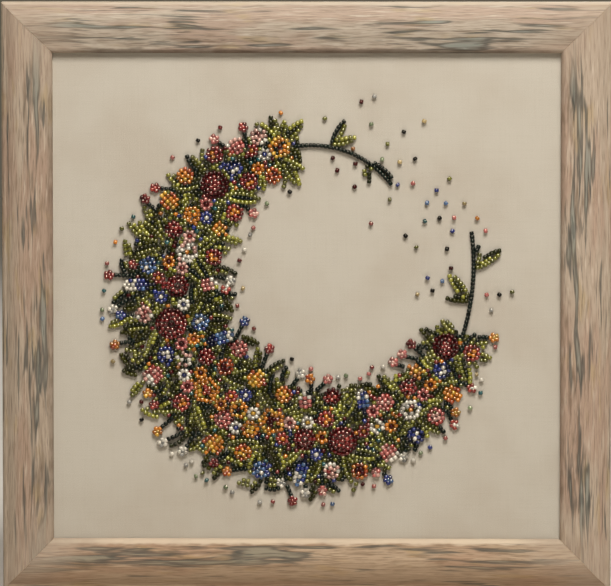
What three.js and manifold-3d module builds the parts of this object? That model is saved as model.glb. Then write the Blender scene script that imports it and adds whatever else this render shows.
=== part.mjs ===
// Framed bead embroidery: four mitred wooden rails hold a cloth that is stretched on a board,
// and the cloth carries a crescent garland of flowers, leaves and stems sewn in glass beads.
// Millimetres, +Z up, the beads face -Y and the wall is the plane Y = 0.
// The origin is the middle of the top rail's flat back, where the frame meets the wall.
import * as THREE from 'three';
import { mergeVertices } from 'three/addons/utils/BufferGeometryUtils.js';
import Module from 'manifold-3d';

const wasm = await Module();
wasm.setup();

// Frame moulding
const frameWidth = 300;
const frameHeight = 290;
const railWidth = 25;
const sideDepth = 11.8;
const outerRound = 2.4;
const crownDepth = 16.5;
const crownInset = 8.5;
const lipTop = 13.2;
const lipFoot = 11;
const lipWidth = 2.6;
const rabbetWidth = 6;
const rabbetDepth = 8.5;
const mitreGap = 0.3;
const mouldingCurveSteps = 5;

// Cloth and board in the rabbet
const clothThickness = 0.7;
const boardThickness = 2.5;
const seatGap = 0.1;
const edgeClearance = 1;

// Steel points that hold the board, and the hanger on the back
const pointWidth = 8;
const pointReach = 7;
const pointThickness = 0.6;
const pointLift = 1.2;
const pointBend = 0.6;
const pointSpread = 0.55;
const hangerLength = 46;
const hangerHeight = 9;
const hangerThickness = 0.9;
const hangerStandOff = 1.5;
const hangerFoot = 8;
const hangerDrop = 14;
const toothCount = 7;
const toothDepth = 1.6;
const nailHeadRadius = 2;
const nailHeadHeight = 0.9;
const nailHeadRound = 0.75;
const nailSegments = 8;

// Beads: one layer high, and sewn in rows of this pitch
const beadSize = 2.3;
const rowPitch = 2.3;
const grooveDepth = 0.55;
const motifGap = 0.35;

// Garland: a crescent about a spine, angles counter-clockwise from the right as seen from the front
const garlandRight = 6;
const garlandUp = 2;
const spineRadius = 72;
const spineStart = 98;
const spineEnd = 344;
const fullestAt = 221;
const halfWidthFull = 30;
const halfWidthEnd = 12;

// Motif sizes, and how far their outlines swing in and out as shares of them
const rosetteRadius = 8.2;
const rosettePetals = 6;
const rosetteNotch = 0.02;
const daisyRadius = 6.4;
const daisyPetals = 6;
const daisyNotch = 0.13;
const goldenRadius = 7.2;
const goldenPetals = 5;
const goldenNotch = 0.1;
const cupLength = 14.5;
const cupWidth = 11.5;
const cupFlare = 0.2;
const cupRest = 0.4;
const cupWaist = 0.18;
const tulipPoints = 3;
const bellPoints = 4;
const bellScale = 0.95;
const spikeLength = 19;
const spikeWidth = 7;
const spikeScallop = 0.07;
const spikeTaper = 0.25;
const spikePairPitch = 1.5;
const leafLength = 18.5;
const leafWidth = 6.2;
const bedHeight = 1.5;
const bedShare = 0.5;
const bedTaper = 12;
const leafFoot = 0.46;
const leafVariety = 0.17;
const stemWidth = 2.1;
const bedSteps = 3;
const stemSteps = 8;
const stemKnots = 5;
const roundSegments = 12;
const goldenSegments = 15;
const spikeSegments = 24;
const leafSegments = 6;

// Heights of the bead rows, as shares of a bead
const edgeRow = 0.4;
const middleRise = 1.1;
const narrowRidge = 0.9;

// How the garland is laid out. Shares are of its half width, leans and turns are in degrees,
// and a pace says how quickly the unevenness changes from one motif to the next.
const heartCount = 9;
const endMargin = 7;
const heartSway = 4;
const heartPace = 2.1;
const heartPhase = 0.6;
const sideShare = 0.62;
const outerLean = 16;
const outerPace = 1.7;
const innerLean = 14;
const innerPace = 2.3;
const innerShift = 0.45;
const innerScale = 0.86;
const accentSway = 2.5;
const accentPace = 2.6;
const accentTurn = 40;
const accentScale = 0.74;
const smallestScale = 0.72;
const swellPower = 1.2;
const leafPace = 2.4;
const fanShare = 0.3;
const outerFan = { count: 5, spread: 124, lean: 12, pace: 3 };
const innerFan = { count: 4, spread: 96, lean: 10, pace: 2 };
const sprayFan = { count: 2, spread: 46 };

// The stem at each end: how far outside the spine it starts, how far it sways from there
// and how many degrees it runs on. It starts a little inside the garland.
const upperStemOut = 1;
const upperStemSway = -9;
const upperStemRun = 42;
const lowerStemOut = 2;
const lowerStemSway = 7;
const lowerStemRun = 38;
const stemOverlap = 2;

// How far outside the spine the leaf pairs on the stems stand, below zero inside it.
const upperSprayOut = 1.5;
const upperTipSprayOut = -3;
const lowerSprayOut = 2;
const lowerTipSprayOut = 6;

const degrees = Math.PI / 180;
const openingWidth = frameWidth - 2 * railWidth;
const openingHeight = frameHeight - 2 * railWidth;
const flatBackWidth = railWidth - rabbetWidth;
const topEdge = flatBackWidth / 2;
const frameCentreZ = topEdge - frameHeight / 2;
const clothFront = rabbetDepth - seatGap;
const clothBack = clothFront - clothThickness;
const boardFront = clothBack - seatGap;
const boardBack = boardFront - boardThickness;
const boardWidth = openingWidth + 2 * (rabbetWidth - edgeClearance);
const boardHeight = openingHeight + 2 * (rabbetWidth - edgeClearance);

const part = new THREE.Group();

function finish(colour, roughness, metalness = 0) {
  return new THREE.MeshStandardMaterial({ color: colour, roughness, metalness });
}

function addMesh(parent, name, geometry, material) {
  const mesh = new THREE.Mesh(geometry, material);
  mesh.name = name;
  parent.add(mesh);
  return mesh;
}

// Only positions, with shared corners joined and collapsed triangles left out.
function closedMesh(geometry) {
  const bare = geometry.clone();
  bare.deleteAttribute('normal');
  bare.deleteAttribute('uv');
  const merged = mergeVertices(bare, 1e-4);
  const kept = [];
  const corners = merged.index.array;
  for (let i = 0; i < corners.length; i += 3) {
    const [a, b, c] = [corners[i], corners[i + 1], corners[i + 2]];
    if (a !== b && b !== c && a !== c) {
      kept.push(a, b, c);
    }
  }
  merged.setIndex(kept);
  return merged;
}

function solidOf(geometry) {
  const closed = closedMesh(geometry);
  return new wasm.Manifold(
    new wasm.Mesh({
      numProp: 3,
      vertProperties: closed.getAttribute('position').array,
      triVerts: new Uint32Array(closed.index.array),
    }),
  );
}

function geometryOf(solid) {
  const found = solid.getMesh();
  const geometry = new THREE.BufferGeometry();
  geometry.setAttribute('position', new THREE.BufferAttribute(found.vertProperties, 3));
  geometry.setIndex([...found.triVerts]);
  geometry.computeVertexNormals();
  return geometry;
}

function largestBody(solid) {
  const bodies = solid.decompose();
  bodies.sort((a, b) => b.volume() - a.volume());
  return bodies[0];
}

// The section of a rail: across is measured from its outer edge, deep from the wall.
function railSection() {
  const section = new THREE.Shape();
  const lipStart = railWidth - lipWidth;
  section.moveTo(0, 0);
  section.lineTo(0, sideDepth);
  section.absarc(outerRound, sideDepth, outerRound, Math.PI, Math.PI / 2, true);
  const shoulder = (outerRound + crownInset) / 2;
  section.quadraticCurveTo(shoulder, crownDepth, crownInset, crownDepth);
  const fall = (crownInset + lipStart) / 2;
  const slopeInset = lipStart - railWidth / 6;
  const slopeDepth = lipTop + (crownDepth - lipTop) / 3;
  section.bezierCurveTo(fall, crownDepth, slopeInset, slopeDepth, lipStart, lipTop);
  section.quadraticCurveTo(railWidth - lipWidth / 4, lipTop, railWidth, lipFoot);
  section.lineTo(railWidth, rabbetDepth);
  section.lineTo(flatBackWidth, rabbetDepth);
  section.lineTo(flatBackWidth, 0);
  section.closePath();
  return section;
}

// A rail of unit length is extruded, and each end is then drawn out to its mitre.
function railGeometry(length) {
  const options = { depth: 1, bevelEnabled: false, curveSegments: mouldingCurveSteps };
  const geometry = new THREE.ExtrudeGeometry(railSection(), options);
  const position = geometry.getAttribute('position');
  for (let i = 0; i < position.count; i += 1) {
    const across = position.getX(i);
    const deep = position.getY(i);
    const side = position.getZ(i) > 0.5 ? -1 : 1;
    const reach = length / 2 - across - mitreGap / Math.SQRT2;
    position.setXYZ(i, side * reach, -deep, -across);
  }
  geometry.computeVertexNormals();
  return geometry;
}

const rails = [
  { name: 'top_rail', length: frameWidth, offset: frameHeight / 2, turn: 0 },
  { name: 'right_rail', length: frameHeight, offset: frameWidth / 2, turn: 90 },
  { name: 'bottom_rail', length: frameWidth, offset: frameHeight / 2, turn: 180 },
  { name: 'left_rail', length: frameHeight, offset: frameWidth / 2, turn: 270 },
];
for (const rail of rails) {
  const turned = new THREE.Group();
  turned.position.z = frameCentreZ;
  turned.rotation.y = rail.turn * degrees;
  const wood = finish(0xc9b79f, 0.55);
  const mesh = addMesh(turned, rail.name, railGeometry(rail.length), wood);
  mesh.position.z = rail.offset;
  part.add(turned);
}

function addSlab(name, thickness, back, material) {
  const slab = new THREE.BoxGeometry(boardWidth, thickness, boardHeight);
  const mesh = addMesh(part, name, slab, material);
  mesh.position.set(0, -(back + thickness / 2), frameCentreZ);
}
addSlab('canvas', clothThickness, clothBack, finish(0xc0af98, 0.9));
addSlab('backing_board', boardThickness, boardBack, finish(0x8f7350, 0.85));

// A steel point: a flat tongue from the rabbet wall over the board, with its tip bent away.
function pointGeometry() {
  const side = new THREE.Shape();
  const bend = pointReach * pointBend;
  side.moveTo(0, 0);
  side.lineTo(bend, 0);
  side.lineTo(pointReach, pointLift);
  side.lineTo(pointReach, pointLift + pointThickness);
  side.lineTo(bend, pointThickness);
  side.lineTo(0, pointThickness);
  side.closePath();
  const options = { depth: pointWidth, bevelEnabled: false };
  const geometry = new THREE.ExtrudeGeometry(side, options);
  geometry.translate(0, 0, -pointWidth / 2);
  return geometry;
}

const pointSpots = [
  { right: -1, up: pointSpread, turn: 0 },
  { right: -1, up: -pointSpread, turn: 0 },
  { right: 1, up: pointSpread, turn: 180 },
  { right: 1, up: -pointSpread, turn: 180 },
  { right: 0, up: 1, turn: 90 },
  { right: 0, up: -1, turn: -90 },
];
pointSpots.forEach((spot, i) => {
  const wallWidth = openingWidth / 2 + rabbetWidth - seatGap;
  const wallHeight = openingHeight / 2 + rabbetWidth - seatGap;
  const geometry = pointGeometry();
  geometry.rotateY(spot.turn * degrees);
  const steel = finish(0x9a9c9e, 0.4, 1);
  const mesh = addMesh(part, `steel_point_${i + 1}`, geometry, steel);
  const height = frameCentreZ + spot.up * wallHeight;
  mesh.position.set(spot.right * wallWidth, -(boardBack - seatGap), height);
});

// The sawtooth hanger: a strip that stands off the board between two feet, toothed below.
function hangerGeometry() {
  const half = hangerLength / 2;
  const inner = half - hangerFoot;
  const ramp = inner - hangerStandOff;
  const profile = new THREE.Shape();
  profile.moveTo(-half, 0);
  profile.lineTo(-inner, 0);
  profile.lineTo(-ramp, hangerStandOff);
  profile.lineTo(ramp, hangerStandOff);
  profile.lineTo(inner, 0);
  profile.lineTo(half, 0);
  profile.lineTo(half, hangerThickness);
  profile.lineTo(inner - hangerThickness / 2, hangerThickness);
  profile.lineTo(ramp - hangerThickness / 2, hangerStandOff + hangerThickness);
  profile.lineTo(hangerThickness / 2 - ramp, hangerStandOff + hangerThickness);
  profile.lineTo(hangerThickness / 2 - inner, hangerThickness);
  profile.lineTo(-half, hangerThickness);
  profile.closePath();
  const strip = new THREE.ExtrudeGeometry(profile, { depth: hangerHeight, bevelEnabled: false });
  let solid = solidOf(strip);
  const toothPitch = (2 * ramp) / (toothCount + 1);
  for (let i = 0; i < toothCount; i += 1) {
    const notch = new THREE.Shape();
    const middle = (i - (toothCount - 1) / 2) * toothPitch;
    notch.moveTo(middle - toothPitch / 2, -1);
    notch.lineTo(middle + toothPitch / 2, -1);
    notch.lineTo(middle, toothDepth);
    notch.closePath();
    const depth = 3 * (hangerStandOff + hangerThickness);
    const cutter = new THREE.ExtrudeGeometry(notch, { depth, bevelEnabled: false });
    cutter.rotateX(Math.PI / 2);
    cutter.translate(0, depth * 0.75, 0);
    solid = solid.subtract(solidOf(cutter));
  }
  return geometryOf(solid);
}
const hangerZ = topEdge - railWidth - hangerDrop - hangerHeight;
const hangerBase = boardBack - seatGap;
const hangerMesh = addMesh(part, 'sawtooth_hanger', hangerGeometry(), finish(0xb59a5c, 0.35, 1));
hangerMesh.position.set(0, -hangerBase, hangerZ);

function nailHeadGeometry() {
  const head = [
    new THREE.Vector2(0, 0),
    new THREE.Vector2(nailHeadRadius, 0),
    new THREE.Vector2(nailHeadRadius * nailHeadRound, nailHeadHeight * nailHeadRound),
    new THREE.Vector2(0, nailHeadHeight),
  ];
  return new THREE.LatheGeometry(head, nailSegments);
}
for (const [name, side] of [['hanger_nail_left', -1], ['hanger_nail_right', 1]]) {
  const mesh = addMesh(part, name, nailHeadGeometry(), finish(0xb59a5c, 0.35, 1));
  const right = side * (hangerLength / 2 - hangerFoot / 2);
  const back = hangerBase - hangerThickness - seatGap;
  mesh.position.set(right, -back, hangerZ + hangerHeight / 2);
}

// Beadwork. A motif is drawn in its own plane, pointing up, with turn 0 at its tip.
// Its outline is a function from the turn to a point, and its relief is a list of rows:
// how far out each row lies, as a share of the outline, and how high it stands.
function motifGeometry(outline, relief, segments) {
  const profile = relief.map(([share, height]) => new THREE.Vector2(share, height));
  const geometry = new THREE.LatheGeometry(profile, segments);
  const position = geometry.getAttribute('position');
  for (let i = 0; i < position.count; i += 1) {
    const x = position.getX(i);
    const z = position.getZ(i);
    const share = Math.hypot(x, z);
    const edge = outline(Math.atan2(x, z));
    position.setXYZ(i, -share * edge.x, -position.getY(i), share * edge.y);
  }
  return geometry;
}

// Ridges of bead rows, each a pitch inside the last, around a raised middle.
function rowRelief(radius) {
  const relief = [[0, 0], [1, 0]];
  for (let ridge = radius - rowPitch * edgeRow; ridge > rowPitch; ridge -= rowPitch) {
    relief.push([ridge / radius, beadSize]);
    relief.push([(ridge - rowPitch / 2) / radius, beadSize - grooveDepth]);
  }
  relief.push([0, beadSize * middleRise]);
  return relief;
}

// A narrow motif with one edge row and a raised middle line, as on a leaf or a spike.
function plainRelief(halfWidth) {
  const ridge = 1 - (rowPitch * edgeRow) / halfWidth;
  return [[0, 0], [1, 0], [ridge, beadSize * narrowRidge], [0, beadSize]];
}

function petalled(radius, petals, notch) {
  return (turn) => {
    const reach = radius * (1 - notch + notch * Math.cos(petals * turn));
    return new THREE.Vector2(reach * Math.sin(turn), reach * Math.cos(turn));
  };
}

function cupOutline(length, width, points) {
  return (turn) => {
    const above = Math.max(0, Math.cos(turn));
    const rim = 1 + cupFlare * above * (Math.cos(points * 2 * turn) - cupRest);
    const waist = 1 - cupWaist * Math.max(0, -Math.cos(turn));
    const right = (width / 2) * Math.sin(turn) * rim * waist;
    return new THREE.Vector2(right, (length / 2) * Math.cos(turn) * rim);
  };
}

function spikeOutline(length, width) {
  const pairs = Math.round(length / rowPitch / spikePairPitch);
  return (turn) => {
    const scallop = 1 + spikeScallop * Math.cos(2 * pairs * turn);
    const taper = 1 - spikeTaper * Math.cos(turn);
    const right = (width / 2) * Math.sin(turn) * scallop * taper;
    return new THREE.Vector2(right, (length / 2) * Math.cos(turn));
  };
}

function leafOutline(length, width) {
  return (turn) => {
    const pinch = Math.sqrt(Math.abs(Math.sin(turn)));
    const right = (width / 2) * Math.sin(turn) * pinch;
    return new THREE.Vector2(right, (length / 2) * Math.cos(turn));
  };
}

// The clear space that a motif keeps from those sewn after it: its outline, wider and deeper.
function clearGeometry(outline, halfWidth, segments) {
  const share = 1 + motifGap / halfWidth;
  const deep = 2 * beadSize;
  const relief = [[0, -beadSize], [share, -beadSize], [share, deep], [0, deep]];
  return motifGeometry(outline, relief, segments);
}

function makeMotif(outline, halfWidth, relief, segments) {
  return {
    solid: solidOf(motifGeometry(outline, relief, segments)),
    clear: solidOf(clearGeometry(outline, halfWidth, segments)),
  };
}

function placeMotif(motif, right, up, turn) {
  const put = (solid) => solid.rotate([0, turn, 0]).translate([right, 0, up]);
  return { solid: put(motif.solid), clear: put(motif.clear) };
}

function joinMotifs(motifs) {
  return motifs.reduce((all, next) => ({
    solid: all.solid.add(next.solid),
    clear: all.clear.add(next.clear),
  }));
}

function rosette(scale) {
  const radius = rosetteRadius * scale;
  const outline = petalled(radius, rosettePetals, rosetteNotch);
  return makeMotif(outline, radius, rowRelief(radius), roundSegments);
}

function daisy(scale) {
  const radius = daisyRadius * scale;
  const outline = petalled(radius, daisyPetals, daisyNotch);
  return makeMotif(outline, radius * (1 - 2 * daisyNotch), rowRelief(radius), roundSegments);
}

function golden(scale) {
  const radius = goldenRadius * scale;
  const outline = petalled(radius, goldenPetals, goldenNotch);
  return makeMotif(outline, radius * (1 - 2 * goldenNotch), rowRelief(radius), goldenSegments);
}

function cup(scale, points) {
  const [length, width] = [cupLength * scale, cupWidth * scale];
  const outline = cupOutline(length, width, points);
  return makeMotif(outline, width / 2, rowRelief(width / 2), roundSegments);
}

function spike(scale) {
  const [length, width] = [spikeLength * scale, spikeWidth * scale];
  const outline = spikeOutline(length, width);
  return makeMotif(outline, width / 2, plainRelief(width / 2), spikeSegments);
}

// Leaves that fan out from one foot, the fan's own origin, either side of turn 0.
function leafFan(count, spread, scale, seed) {
  const fan = [];
  for (let i = 0; i < count; i += 1) {
    const size = scale * (1 + leafVariety * Math.sin(leafPace * i + seed));
    const [length, width] = [leafLength * size, leafWidth * size];
    const outline = leafOutline(length, width);
    const leaf = makeMotif(outline, width / 2, plainRelief(width / 2), leafSegments);
    const turn = spread * (i / (count - 1) - 0.5);
    const out = length * leafFoot;
    fan.push(placeMotif(leaf, out * Math.sin(turn * degrees), out * Math.cos(turn * degrees), turn));
  }
  return joinMotifs(fan);
}

function halfWidthAt(angle) {
  const side = angle < fullestAt ? spineStart : spineEnd;
  const away = Math.min(1, (angle - fullestAt) / (side - fullestAt));
  const swell = Math.cos((away * Math.PI) / 2) ** swellPower;
  return halfWidthEnd + (halfWidthFull - halfWidthEnd) * swell;
}

// The close beads fill the middle of the garland and run out to a stem's width at its ends.
function bedHalfAt(angle) {
  const toEnd = Math.max(0, Math.min(angle - spineStart, spineEnd - angle));
  const taper = Math.min(1, toEnd / bedTaper);
  return stemWidth / 2 + (halfWidthAt(angle) * bedShare - stemWidth / 2) * taper;
}

// The close beads between the motifs of one stretch of the garland: a low curved band.
function bed(from, to) {
  const block = (gap, base, height) => {
    const edge = (side, start, end) => {
      const line = [];
      for (let i = 0; i <= bedSteps; i += 1) {
        const angle = start + ((end - start) * i) / bedSteps;
        const reach = spineRadius + side * (bedHalfAt(angle) + gap);
        line.push(new THREE.Vector2(reach * Math.cos(angle * degrees), reach * Math.sin(angle * degrees)));
      }
      return line;
    };
    const slack = gap / spineRadius / degrees;
    const outer = edge(1, from - slack, to + slack);
    const inner = edge(-1, to + slack, from - slack);
    const area = new THREE.Shape([...outer, ...inner]);
    const geometry = new THREE.ExtrudeGeometry(area, { depth: height, bevelEnabled: false });
    geometry.rotateX(Math.PI / 2);
    geometry.translate(0, -base, 0);
    return solidOf(geometry);
  };
  return { solid: block(0, 0, bedHeight), clear: block(motifGap, -beadSize, 3 * beadSize) };
}

// A stem is one row of beads along an arc about the garland's centre.
function stem(radius, from, to, sway) {
  const points = [];
  for (let i = 0; i <= stemKnots; i += 1) {
    const share = i / stemKnots;
    const angle = (from + (to - from) * share) * degrees;
    const reach = radius + sway * share ** 2;
    points.push(new THREE.Vector3(reach * Math.cos(angle), 0, reach * Math.sin(angle)));
  }
  const curve = new THREE.CatmullRomCurve3(points);
  const tube = (size, low) => {
    const section = new THREE.Shape();
    section.moveTo(0, -size / 2);
    section.lineTo(low, -size / 2);
    section.lineTo(beadSize, -size / 4);
    section.lineTo(beadSize, size / 4);
    section.lineTo(low, size / 2);
    section.lineTo(0, size / 2);
    section.closePath();
    return new THREE.ExtrudeGeometry(section, { steps: stemSteps, extrudePath: curve });
  };
  return {
    solid: solidOf(tube(stemWidth, beadSize / 2)),
    clear: solidOf(tube(stemWidth + 2 * motifGap, beadSize)),
  };
}

const garland = new THREE.Group();
garland.position.set(garlandRight, -(clothFront + seatGap), frameCentreZ + garlandUp);
part.add(garland);

const sewn = [];

// Each motif gives way to those sewn before it, and its largest remaining part is kept.
function sew(name, motif, material) {
  let solid = motif.solid;
  for (const clear of sewn) {
    solid = solid.subtract(clear);
  }
  solid = largestBody(solid);
  sewn.push(motif.clear);
  addMesh(garland, name, geometryOf(solid), material);
}

function spot(angle, offset) {
  const reach = spineRadius + offset;
  return [reach * Math.cos(angle * degrees), reach * Math.sin(angle * degrees)];
}

// A motif's turn is from upright towards the right, so outward at an angle is 90 less it.
function outward(angle) {
  return 90 - angle;
}

const glass = {
  red: 0x9c1f22,
  golden: 0xdc8c22,
  pink: 0xd98a86,
  blue: 0x27408f,
  white: 0xe6e0d4,
  leaf: 0x6f7a22,
  stem: 0x143236,
};

const kinds = {
  red_rosette: { make: (scale) => rosette(scale), colour: glass.red },
  white_daisy: { make: (scale) => daisy(scale), colour: glass.white },
  golden_blossom: { make: (scale) => golden(scale), colour: glass.golden },
  orange_tulip: { make: (scale) => cup(scale, tulipPoints), colour: glass.golden },
  pink_bell: { make: (scale) => cup(scale * bellScale, bellPoints), colour: glass.pink },
  blue_spike: { make: (scale) => spike(scale), colour: glass.blue },
};

const sewnOfKind = {};
function sewKind(kind, scale, right, up, turn) {
  sewnOfKind[kind] = (sewnOfKind[kind] || 0) + 1;
  const motif = placeMotif(kinds[kind].make(scale), right, up, turn);
  sew(`${kind}_${sewnOfKind[kind]}`, motif, finish(kinds[kind].colour, 0.2));
}

// The size of a motif follows the garland's width where it stands.
function scaleAt(angle) {
  return smallestScale + (1 - smallestScale) * (halfWidthAt(angle) / halfWidthFull);
}

const heartOrder = ['golden_blossom', 'red_rosette', 'white_daisy', 'red_rosette', 'golden_blossom'];
const outerOrder = ['pink_bell', 'orange_tulip', 'blue_spike'];
const innerOrder = ['blue_spike', 'orange_tulip', 'pink_bell'];
const accentOrder = ['white_daisy', 'golden_blossom', 'red_rosette'];
const heartStep = (spineEnd - spineStart - 2 * endMargin) / (heartCount - 1);

function heartAngle(i) {
  return spineStart + endMargin + heartStep * i;
}

for (let i = 0; i < heartCount; i += 1) {
  const angle = heartAngle(i);
  const [right, up] = spot(angle, heartSway * Math.sin(heartPace * i + heartPhase));
  sewKind(heartOrder[i % heartOrder.length], scaleAt(angle), right, up, outward(angle));
}

for (let i = 0; i < heartCount - 1; i += 1) {
  const angle = heartAngle(i + 0.5);
  const [right, up] = spot(angle, halfWidthAt(angle) * sideShare);
  const lean = outerLean * Math.sin(outerPace * i);
  sewKind(outerOrder[i % outerOrder.length], scaleAt(angle), right, up, outward(angle) + lean);
}

for (let i = 1; i < heartCount - 1; i += 1) {
  const angle = heartAngle(i + innerShift);
  const [right, up] = spot(angle, -halfWidthAt(angle) * sideShare);
  const turn = outward(angle) + 180 + innerLean * Math.sin(innerPace * i);
  sewKind(innerOrder[i % innerOrder.length], scaleAt(angle) * innerScale, right, up, turn);
}

for (let i = 1; i < heartCount - 2; i += 1) {
  const angle = heartAngle(i + 0.5);
  const [right, up] = spot(angle, accentSway * Math.sin(accentPace * i));
  const scale = scaleAt(angle) * accentScale;
  sewKind(accentOrder[i % accentOrder.length], scale, right, up, accentTurn * i);
}

const stems = [
  { out: upperStemOut, sway: upperStemSway, from: spineStart, way: -1, run: upperStemRun },
  { out: lowerStemOut, sway: lowerStemSway, from: spineEnd, way: 1, run: lowerStemRun },
];
stems.forEach((row, i) => {
  const start = row.from - row.way * stemOverlap;
  const end = row.from + row.way * row.run;
  const arc = stem(spineRadius + row.out, start, end, row.sway);
  sew(`stem_${i + 1}`, arc, finish(glass.stem, 0.25));
});

function fanAt(angle, offset, lean, { count, spread }) {
  const [right, up] = spot(angle, offset);
  const fan = leafFan(count, spread, scaleAt(angle), angle);
  return placeMotif(fan, right, up, outward(angle) + lean);
}

for (let i = 0; i < heartCount; i += 1) {
  const angle = heartAngle(i);
  const width = halfWidthAt(angle);
  const half = heartStep / 2 - motifGap / 2 / spineRadius / degrees;
  const from = i === 0 ? spineStart : angle - half;
  const to = i === heartCount - 1 ? spineEnd : angle + half;
  const leaves = joinMotifs([
    bed(from, to),
    fanAt(angle, width * fanShare, outerFan.lean * Math.sin(outerFan.pace * i), outerFan),
    fanAt(angle, -width * fanShare, 180 + innerFan.lean * Math.sin(innerFan.pace * i), innerFan),
  ]);
  sew(`leaf_bed_${i + 1}`, leaves, finish(glass.leaf, 0.25));
}

const sprays = [
  { angle: spineStart - 13, out: upperSprayOut, lean: 48 },
  { angle: spineStart - 27, out: upperTipSprayOut, lean: 128 },
  { angle: spineEnd + 13, out: lowerSprayOut, lean: 208 },
  { angle: spineEnd + 25, out: lowerTipSprayOut, lean: -48 },
];
sprays.forEach((spray, i) => {
  const leaves = fanAt(spray.angle, spray.out, spray.lean, sprayFan);
  sew(`leaf_spray_${i + 1}`, leaves, finish(glass.leaf, 0.25));
});

export default part;
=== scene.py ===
# %% [markdown]
# # A framed bead embroidery
#
# The object hangs on a wall: four mitred, whitewashed rails around a cloth, and on the cloth
# a crescent garland of flowers and leaves sewn in glass beads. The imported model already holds
# every piece at its real size. This lesson dresses it: each bead becomes a real little ring of
# glass, the wood gets its streaks, and the cloth its weave.

import math
import random

import bmesh
import bpy
import numpy as np
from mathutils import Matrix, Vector, noise


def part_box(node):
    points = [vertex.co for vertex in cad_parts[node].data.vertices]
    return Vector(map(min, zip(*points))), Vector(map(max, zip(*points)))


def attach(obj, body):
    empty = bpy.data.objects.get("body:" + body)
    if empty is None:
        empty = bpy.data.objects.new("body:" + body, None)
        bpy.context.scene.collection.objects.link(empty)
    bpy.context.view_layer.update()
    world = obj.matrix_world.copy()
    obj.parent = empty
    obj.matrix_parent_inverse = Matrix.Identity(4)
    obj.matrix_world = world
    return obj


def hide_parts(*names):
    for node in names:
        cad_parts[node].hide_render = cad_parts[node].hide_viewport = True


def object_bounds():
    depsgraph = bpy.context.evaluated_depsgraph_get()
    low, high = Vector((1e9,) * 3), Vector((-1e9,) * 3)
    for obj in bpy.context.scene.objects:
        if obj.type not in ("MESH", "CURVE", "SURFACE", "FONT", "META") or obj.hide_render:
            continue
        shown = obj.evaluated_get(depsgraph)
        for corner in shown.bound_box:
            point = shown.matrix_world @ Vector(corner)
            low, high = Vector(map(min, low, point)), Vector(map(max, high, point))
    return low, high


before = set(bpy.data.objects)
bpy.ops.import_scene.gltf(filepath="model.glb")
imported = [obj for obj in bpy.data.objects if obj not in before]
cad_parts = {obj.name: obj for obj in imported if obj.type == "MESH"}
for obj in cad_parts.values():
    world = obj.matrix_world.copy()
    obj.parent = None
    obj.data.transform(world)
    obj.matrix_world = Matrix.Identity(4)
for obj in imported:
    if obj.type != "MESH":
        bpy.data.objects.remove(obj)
cad_low, cad_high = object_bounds()


def add(name, data):
    """A new object of the scene, with the data as its shape, lens or lamp."""
    thing = bpy.data.objects.new(name, data)
    bpy.context.scene.collection.objects.link(thing)
    return thing


def wobble(*place):
    """A smooth random height at a place of three numbers."""
    return noise.noise(Vector(place))


# %% [markdown]
# ## Camera
#
# The photograph looks at the picture almost straight on, from a little above, and the frame's
# sides stay nearly parallel. So the camera stands three metres away with a long lens, raised
# by a few degrees: the top rail then shows a little of its upper side, as in the photograph.

# %% Camera
MM = 0.001
CAMERA_DISTANCE = 3.0
CAMERA_ELEVATION = math.radians(4.6)
CAMERA_AZIMUTH = math.radians(0.8)
CAMERA_LENS = 357.6
AIM_RIGHT = -0.7 * MM
AIM_UP = 1.0 * MM
FRAME_CENTRE = Vector((0, 0, (cad_low.z + cad_high.z) / 2))
AIM = FRAME_CENTRE + Vector((AIM_RIGHT, 0, AIM_UP))

camera_data = bpy.data.cameras.new("camera")
camera = add("camera", camera_data)
towards = Vector((
    math.sin(CAMERA_AZIMUTH) * math.cos(CAMERA_ELEVATION),
    -math.cos(CAMERA_AZIMUTH) * math.cos(CAMERA_ELEVATION),
    math.sin(CAMERA_ELEVATION),
))
camera.location = AIM + towards * CAMERA_DISTANCE
camera.rotation_euler = (-towards).to_track_quat("-Z", "Y").to_euler()
camera_data.sensor_width = 36.0
camera_data.lens = CAMERA_LENS
camera_data.clip_end = 50.0
bpy.context.scene.camera = camera
print("camera at:", [round(part, 3) for part in camera.location])

# %% [markdown]
# ## Writing materials as sums
#
# A node tree is easier to read as arithmetic. `Value` wraps the output of a node, so that
# `1 - mask * 0.5` adds the Math nodes by itself. `Look` is one material, and its `node`
# method adds any other node: first its settings, then what goes into its sockets.

# %% Shader helpers
def operator(operation, swapped=False):
    def apply(self, other):
        pair = (other, self) if swapped else (self, other)
        return self.math(operation, *pair)
    return apply


class Value:
    """A number that varies over a surface: the output socket of some node."""

    def __init__(self, look, socket):
        self.look = look
        self.socket = socket

    def math(self, operation, first, second=0.0):
        return self.look.value("ShaderNodeMath", {"operation": operation}, {0: first, 1: second})

    __add__ = __radd__ = operator("ADD")
    __sub__ = operator("SUBTRACT")
    __rsub__ = operator("SUBTRACT", swapped=True)
    __mul__ = __rmul__ = operator("MULTIPLY")
    __truediv__ = operator("DIVIDE")

    def wave(self):
        return self.math("SINE", self)

    def size(self):
        """The number without its sign."""
        return self.math("ABSOLUTE", self)

    def between(self, low, high):
        """0 below low, 1 above high, and a soft step between them."""
        settings = {"interpolation_type": "SMOOTHSTEP"}
        sockets = {0: self, 1: low, 2: high, 3: 0.0, 4: 1.0}
        return self.look.value("ShaderNodeMapRange", settings, sockets)


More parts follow.
